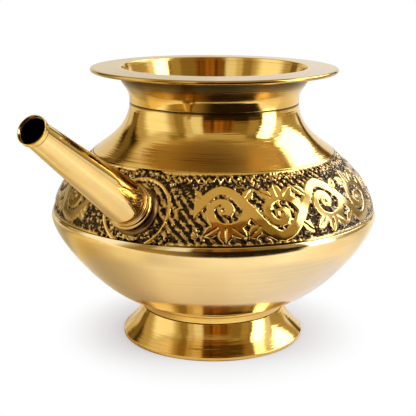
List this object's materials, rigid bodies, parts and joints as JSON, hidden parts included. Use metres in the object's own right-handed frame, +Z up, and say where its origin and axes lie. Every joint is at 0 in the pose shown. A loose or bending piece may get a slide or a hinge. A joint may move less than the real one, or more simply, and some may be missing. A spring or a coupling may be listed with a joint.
{
  "type": "spouted water pot",
  "caption": "Small brass water pot with a flat rim, waisted neck, dark chased band, smooth round bowl, flared hollow foot and a straight rising spout for pouring a thin stream.",
  "frame": {"origin": "on the floor under the middle of the overall box; the pot's own axis stands at x = -26.4 mm", "axes": "+Z up along the pot's axis, +X from the pot towards the spout's mouth"},
  "size_m": [0.1804, 0.1274, 0.1072],
  "materials": {
    "polished_brass": "polished, with fine lathe lines",
    "satin_brass": "smooth satin polish",
    "chased_brass": "chased ground darkened with age, raised work polished",
    "brazing_filler": "as flowed, a little lumpy"
  },
  "bodies": {
    "root": {"neck_collar": "polished_brass", "shoulder_shell": "polished_brass", "foot_collar": "polished_brass", "foot_flare": "polished_brass", "spout_tube": "polished_brass", "spout_lip_ring": "polished_brass", "spout_base_collar": "polished_brass", "rim_flange": "satin_brass", "lower_bowl": "satin_brass", "chased_band": "chased_brass", "rim_braze_fillet": "brazing_filler", "neck_braze_ring": "brazing_filler", "shoulder_braze_ring": "brazing_filler", "belly_braze_ring": "brazing_filler", "foot_braze_ring": "brazing_filler", "spout_braze_fillet": "brazing_filler"}
  },
  "joints": []
}
